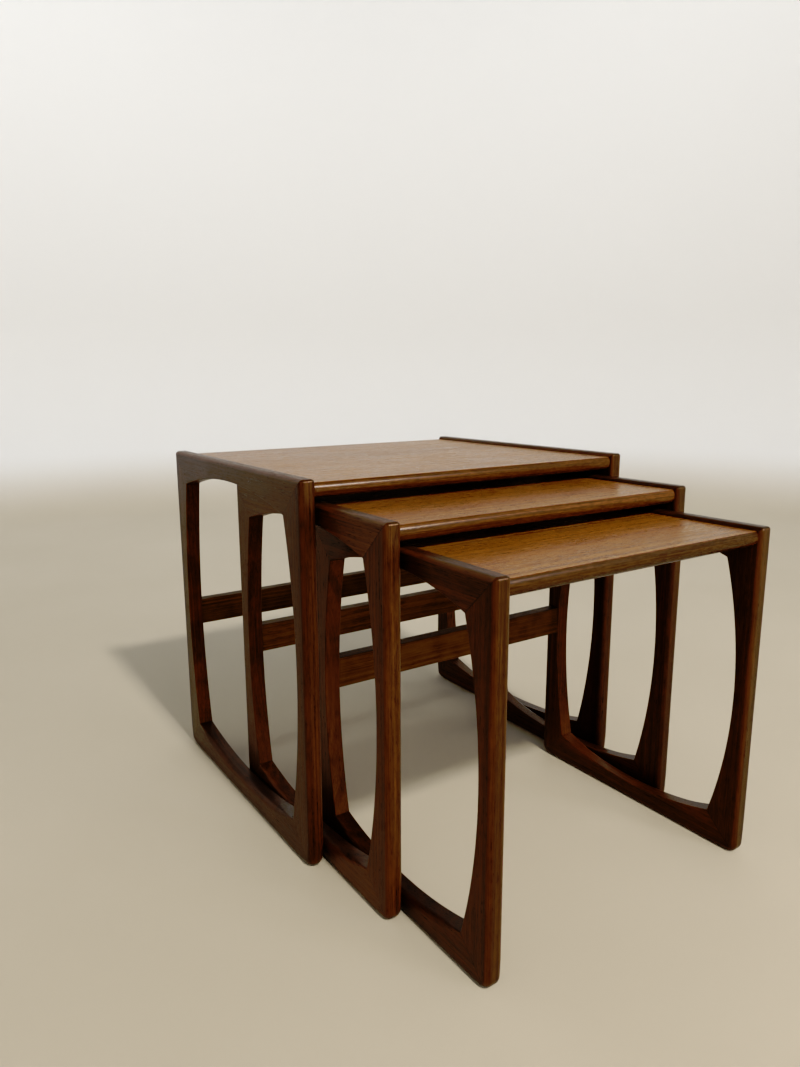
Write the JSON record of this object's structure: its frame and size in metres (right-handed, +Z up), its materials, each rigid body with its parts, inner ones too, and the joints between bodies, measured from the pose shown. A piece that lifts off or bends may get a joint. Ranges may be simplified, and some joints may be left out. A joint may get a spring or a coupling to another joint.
{
  "type": "nesting tables",
  "caption": "Nesting tables with mitred, bow-cut teak side frames, veneered tops with rounded edges and rear stretchers; the smaller tables slide out from under the larger ones.",
  "frame": {"origin": "on the floor, at the middle of the nest's footprint as it stands with the smaller tables drawn forward", "axes": "+X to the right along the front edges, +Y from front to back, +Z up"},
  "size_m": [0.535, 0.707, 0.488],
  "materials": {
    "frame_teak": "satin lacquer over dark red-brown teak",
    "stretcher_teak": "satin lacquer over dark brown teak, grain along x",
    "lipping_teak": "satin lacquer over warm orange-brown solid teak, grain along x",
    "top_veneer_teak": "satin lacquer over golden-brown teak veneer, grain along x",
    "under_veneer_teak": "thinly oiled plain veneer",
    "core_board": "raw board, hidden",
    "dowel_beech": "raw beech, hidden"
  },
  "bodies": {
    "large_table": {"large_left_front_leg": "frame_teak", "large_left_rear_leg": "frame_teak", "large_left_top_rail": "frame_teak", "large_left_foot_rail": "frame_teak", "large_right_front_leg": "frame_teak", "large_right_rear_leg": "frame_teak", "large_right_top_rail": "frame_teak", "large_right_foot_rail": "frame_teak", "large_board": "core_board", "large_top_veneer": "top_veneer_teak", "large_under_veneer": "under_veneer_teak", "large_front_lipping": "lipping_teak", "large_rear_lipping": "lipping_teak", "large_stretcher": "stretcher_teak", "large_top_dowels": "dowel_beech", "large_stretcher_dowels": "dowel_beech", "large_corner_dowels": "dowel_beech"},
    "medium_table": {"medium_left_front_leg": "frame_teak", "medium_left_rear_leg": "frame_teak", "medium_left_top_rail": "frame_teak", "medium_left_foot_rail": "frame_teak", "medium_right_front_leg": "frame_teak", "medium_right_rear_leg": "frame_teak", "medium_right_top_rail": "frame_teak", "medium_right_foot_rail": "frame_teak", "medium_board": "core_board", "medium_top_veneer": "top_veneer_teak", "medium_under_veneer": "under_veneer_teak", "medium_front_lipping": "lipping_teak", "medium_rear_lipping": "lipping_teak", "medium_stretcher": "stretcher_teak", "medium_top_dowels": "dowel_beech", "medium_stretcher_dowels": "dowel_beech", "medium_corner_dowels": "dowel_beech"},
    "small_table": {"small_left_front_leg": "frame_teak", "small_left_rear_leg": "frame_teak", "small_left_top_rail": "frame_teak", "small_left_foot_rail": "frame_teak", "small_right_front_leg": "frame_teak", "small_right_rear_leg": "frame_teak", "small_right_top_rail": "frame_teak", "small_right_foot_rail": "frame_teak", "small_board": "core_board", "small_top_veneer": "top_veneer_teak", "small_under_veneer": "under_veneer_teak", "small_front_lipping": "lipping_teak", "small_rear_lipping": "lipping_teak", "small_stretcher": "stretcher_teak", "small_top_dowels": "dowel_beech", "small_stretcher_dowels": "dowel_beech", "small_corner_dowels": "dowel_beech"}
  },
  "joints": [
    {"name": "medium_slide", "type": "slide", "parent": "large_table", "child": "medium_table", "axis": [0, -1, 0], "range_m": [-0.1555, 0.3]},
    {"name": "small_slide", "type": "slide", "parent": "medium_table", "child": "small_table", "axis": [0, -1, 0], "range_m": [-0.1585, 0.25]}
  ]
}
